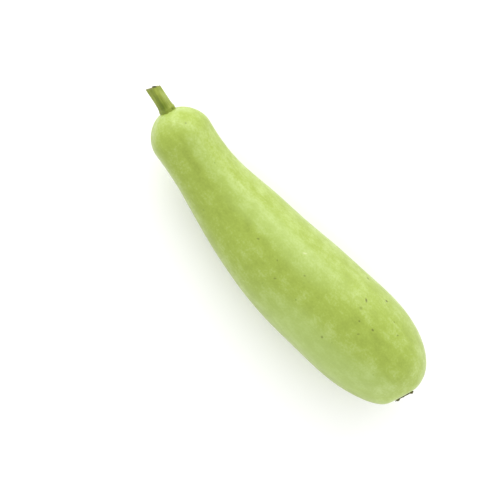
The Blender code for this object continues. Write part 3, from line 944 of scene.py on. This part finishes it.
def make_skin_material():
    """Waxy rind: cloudy green with marks, pores and dimples, and an uneven satin gloss."""
    material, tree, shader = new_material("waxy_gourd_rind", IOR=1.42, Roughness=0.38,
                                          Sheen_Weight=0.08, Sheen_Roughness=0.35)
    place = add(tree, "TexCoord").outputs["Object"]
    colour, clouds = skin_clouds(tree, place)
    # The colours of a noise less a half, doubled, go from -1 to 1
    stir = add(tree, "TexNoise", {"Vector": place, "Scale": 1 / GRAIN_SIZE})
    centred = add(tree, "VectorMath", {0: stir.outputs["Color"], 1: (0.5, 0.5, 0.5)},
                  operation="SUBTRACT")
    nudge = add(tree, "VectorMath", {0: centred.outputs[0], "Scale": 2 * MARK_WOBBLE},
                operation="SCALE")
    wobbly = add(tree, "VectorMath", {0: place, 1: nudge.outputs[0]}, operation="ADD").outputs[0]
    marks = largest(tree, [mark_shade(tree, wobbly, mark) for mark in MARKS])
    specks = speck_shade(tree, wobbly)
    scrape = mark_shade(tree, wobbly, SCRAPE)
    to_scar = add(tree, "VectorMath", {0: wobbly, 1: SCAR_SEAT + SHIFT}, operation="DISTANCE")
    halo = add(tree, "MapRange", {"Value": to_scar.outputs["Value"],
                                  "From Min": HALO_RADIUS + HALO_SOFTNESS,
                                  "From Max": HALO_RADIUS - HALO_SOFTNESS},
               interpolation_type="SMOOTHSTEP").outputs[0]
    colour = paint_coats(tree, colour, ((halo, HALO_HEX), (specks, SPECK_HEX),
                                        (marks, MARK_HEX), (scrape, SCRAPE_HEX)))
    tree.links.new(colour, shader.inputs["Base Color"])
    gloss = add(tree, "MapRange", {"Value": clouds, "From Min": -CLOUD_REACH,
                                   "From Max": CLOUD_REACH, "To Min": ROUGH, "To Max": SMOOTH})
    tree.links.new(gloss.outputs[0], shader.inputs["Roughness"])
    pores = add(tree, "TexNoise", {"Vector": place, "Scale": 1 / PORE_SIZE, "Detail": 2.0})
    dimples = add(tree, "TexNoise", {"Vector": place, "Scale": 1 / DIMPLE_SIZE, "Detail": 1.0})
    sunk = add(tree, "Math", {0: largest(tree, [marks, specks]), 1: -1}, operation="MULTIPLY")
    normal = None
    for height, depth in ((dimples.outputs[0], DIMPLE_DEPTH), (pores.outputs[0], PORE_DEPTH),
                          (sunk.outputs[0], SPECK_DEPTH)):
        inputs = {"Height": height, "Distance": depth}
        if normal:
            inputs["Normal"] = normal
        normal = add(tree, "Bump", inputs).outputs[0]
    tree.links.new(normal, shader.inputs["Normal"])
    print("rind", len(tree.nodes), "nodes")
    return material


fruit.data.materials.append(make_skin_material())

# %% [markdown]
# ### Stem and scar
# The stem is living green tissue with tough fibres, so it is darker and duller than the rind,
# with a bloom of short hairs that shows as a pale edge. It is deepest green near its foot, a green
# that is partly its own and partly painted shade, a painted highlight makes it paler on one side,
# and it dries to a greyish olive at the cut, whose face is cream pith. Those tones are kept in
# the mesh, because they follow the stem's own shape. The scar is dead petal tissue: dark olive
# brown, matt, lighter along the fibres, and tan in the middle. Both have fibres along a
# direction of their own, so both read their place from their own seat.

# %% Stem material
# The deep green also serves as painted shade, and the pale green is a painted highlight
STEM_DEEP_AND_SHADE, STEM_GREEN, STEM_LIGHT, STEM_HIGHLIGHT_PAINT = "5B6E00", "788424", "97A444", "B9C684"
STEM_DRIED, STEM_TORN, STEM_PITH = "8B8A58", "292B06", "C9C796"
STEM_FIBRE_WIDTH, STEM_FIBRE_STRETCH = 0.8 * MM, (0.12, 1, 1)
STEM_PATCH_SIZE = 6 * MM
STEM_PATCH_TONE = 0.35
STEM_FIBRE_DEPTH = 0.06 * MM
STEM_FIBRE_RANGE, STEM_PATCH_RANGE = (0.30, 0.75), (0.45, 0.75)


def fibres_from_seat(tree, seat, ways, stretch, width, detail):
    """Place seen from a seat, with x along its axis, and noise on it drawn out to fibres."""
    place = add(tree, "TexCoord").outputs["Object"]
    turn = Matrix([Vector(way) for way in ways]).transposed().to_euler()
    local = add(tree, "Mapping", {"Vector": place, "Location": seat + SHIFT,
                                  "Rotation": turn}, vector_type="TEXTURE").outputs[0]
    drawn_out = add(tree, "Mapping", {"Vector": local, "Scale": stretch}).outputs[0]
    fibres = add(tree, "TexNoise", {"Vector": drawn_out, "Scale": 1 / width,
                                    "Detail": detail})
    return local, fibres.outputs[0]


def make_stem_material():
    """Ribbed green stem: fibres along its axis, soft patches, a deep green foot that is partly
    painted shade, a painted highlight on one side, and dry cut.
    """
    material, tree, shader = new_material("ribbed_green_stem", IOR=1.40, Roughness=0.50,
                                          Sheen_Weight=0.10, Sheen_Roughness=0.4)
    place, fibres = fibres_from_seat(tree, STEM_SEAT, STEM_WAYS, STEM_FIBRE_STRETCH,
                                     STEM_FIBRE_WIDTH, 3.0)
    patches = add(tree, "TexNoise", {"Vector": place, "Scale": 1 / STEM_PATCH_SIZE,
                                     "Detail": 2.0}).outputs[0]
    coats = []
    for noise, (low, high), most, paint in (
            (fibres, STEM_FIBRE_RANGE, 1, STEM_LIGHT),
            (patches, STEM_PATCH_RANGE, STEM_PATCH_TONE, STEM_DEEP_AND_SHADE)):
        shade = add(tree, "MapRange", {"Value": noise, "From Min": low,
                                       "From Max": high, "To Max": most})
        coats.append((shade.outputs[0], paint))
    # Deep green with painted shade, painted highlight, drying, pith and torn spot, from the mesh
    coats += [(add(tree, "Attribute", attribute_name=name).outputs["Fac"], paint)
              for name, paint in (("deep_green_and_shade", STEM_DEEP_AND_SHADE), ("painted_highlight", STEM_HIGHLIGHT_PAINT),
                                  ("drying", STEM_DRIED), ("pith", STEM_PITH),
                                  ("torn", STEM_TORN))]
    colour = paint_coats(tree, linear(STEM_GREEN), coats)
    tree.links.new(colour, shader.inputs["Base Color"])
    bump = add(tree, "Bump", {"Height": fibres, "Distance": STEM_FIBRE_DEPTH})
    tree.links.new(bump.outputs[0], shader.inputs["Normal"])
    print("stem", len(tree.nodes), "nodes")
    return material


stem.data.materials.append(make_stem_material())

# %% Scar material
SCAR_DARK, SCAR_BROWN, SCAR_TAN = "3A3810", "646028", "9A7C4C"
SCAR_FIBRE_WIDTH, SCAR_FIBRE_STRETCH, SCAR_BUMP = 0.7 * MM, (1, 0.2, 1), 0.10 * MM
# The tan tint begins and is full at these distances from the middle
TAN_RIM, TAN_CORE = 7.5 * MM, 4 * MM
SCAR_FIBRE_LOW, SCAR_FIBRE_HIGH = 0.42, 0.68


def make_scar_material():
    """Dried petal tissue: dark and matt, lighter along its fibres and tan in the middle."""
    material, tree, shader = new_material("dried_petal_tissue", IOR=1.45, Roughness=0.85)
    place, fibres = fibres_from_seat(tree, SCAR_SEAT, SCAR_WAYS, SCAR_FIBRE_STRETCH,
                                     SCAR_FIBRE_WIDTH, 4.0)
    away = add(tree, "VectorMath", {0: place}, operation="LENGTH")
    inner = add(tree, "MapRange", {"Value": away.outputs["Value"], "From Min": TAN_RIM,
                                   "From Max": TAN_CORE})
    light = add(tree, "MapRange", {"Value": fibres, "From Min": SCAR_FIBRE_LOW,
                                   "From Max": SCAR_FIBRE_HIGH})
    tint = add(tree, "Math", {0: inner.outputs[0], 1: light.outputs[0]}, operation="MULTIPLY")
    colour = paint_coats(tree, linear(SCAR_DARK), ((light.outputs[0], SCAR_BROWN),
                                                   (tint.outputs[0], SCAR_TAN)))
    tree.links.new(colour, shader.inputs["Base Color"])
    bump = add(tree, "Bump", {"Height": fibres, "Distance": SCAR_BUMP})
    tree.links.new(bump.outputs[0], shader.inputs["Normal"])
    print("scar", len(tree.nodes), "nodes")
    return material


scar.data.materials.append(make_scar_material())

# %% [markdown]
# ## Join the pieces to the model
# Each piece stands for one solid of the model and moves with its body, and that solid is
# hidden.

# %% Rides and replaced nodes
PIECES = ((fruit, "fruit", "fruit_skin"), (stem, "stem", "stem_green"),
          (scar, "blossom_scar", "dried_scar"))
for piece, node, slot in PIECES:
    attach(piece, "root")
    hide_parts(node)
    print(piece.name, "stands for", node)

# %% [markdown]
# ## Floor and light
# The gourd lies in a white product studio: a white floor that runs past the horizon, a bright
# white surround and two softboxes. The surround alone would light it flatly. The key is a wide
# softbox beyond the stem end, and it gives the soft band of sheen on the far upper flank, over
# which the streaks lay a painted band of sheen as well. The low one stands near the floor beyond
# the blossom end and opens the shade there.

# %% Floor
FLOOR_WIDTH = 40.0
FLOOR_HEX = "FAFAFA"


def make_floor():
    """A wide flat sheet at the height that the gourd rests on, in matt white card."""
    half = FLOOR_WIDTH / 2
    mesh = bpy.data.meshes.new("floor")
    corners = [(-half, -half, 0), (half, -half, 0), (half, half, 0), (-half, half, 0)]
    mesh.from_pydata(corners, [], [(0, 1, 2, 3)])
    floor = new_object("floor", mesh)
    card = new_material("matt_white_card", Base_Color=linear(FLOOR_HEX), Roughness=0.9)[0]
    mesh.materials.append(card)
    print("floor", FLOOR_WIDTH, "m wide")


make_floor()

# %% Light
WORLD_STRENGTH = 0.96
# Heading and rise in degrees, distance, width and height in metres, and brightness of each face
SOFTBOXES = {
    "key softbox": (140, 30, 1.4, 3.3, 0.75, 3.4),
    "low softbox": (345, 12, 1.4, 3.3, 0.5, 2.2),
}
AIM = Vector((0, 0, 0.045))


def make_softbox(name, heading, rise, distance, width, height, radiance):
    """Rectangular area light that faces the gourd; its watts are radiance times area times pi."""
    data = bpy.data.lights.new(name, "AREA")
    data.shape = "RECTANGLE"
    data.size, data.size_y = width, height
    data.energy = radiance * width * height * math.pi
    light = new_object(name, data)
    towards = Vector([float(part) for part in frame_along(heading, rise)[0]])
    light.location = AIM + distance * towards
    light.rotation_euler = towards.to_track_quat("Z", "Y").to_euler()
    print(name, round(data.energy, 1), "W")


world = bpy.data.worlds.new("bright surround")
world.use_nodes = True
world.node_tree.nodes["Background"].inputs["Color"].default_value = (1, 1, 1, 1)
world.node_tree.nodes["Background"].inputs["Strength"].default_value = WORLD_STRENGTH
bpy.context.scene.world = world
for name, box in SOFTBOXES.items():
    make_softbox(name, *box)
bpy.context.scene.view_settings.view_transform = "Standard"
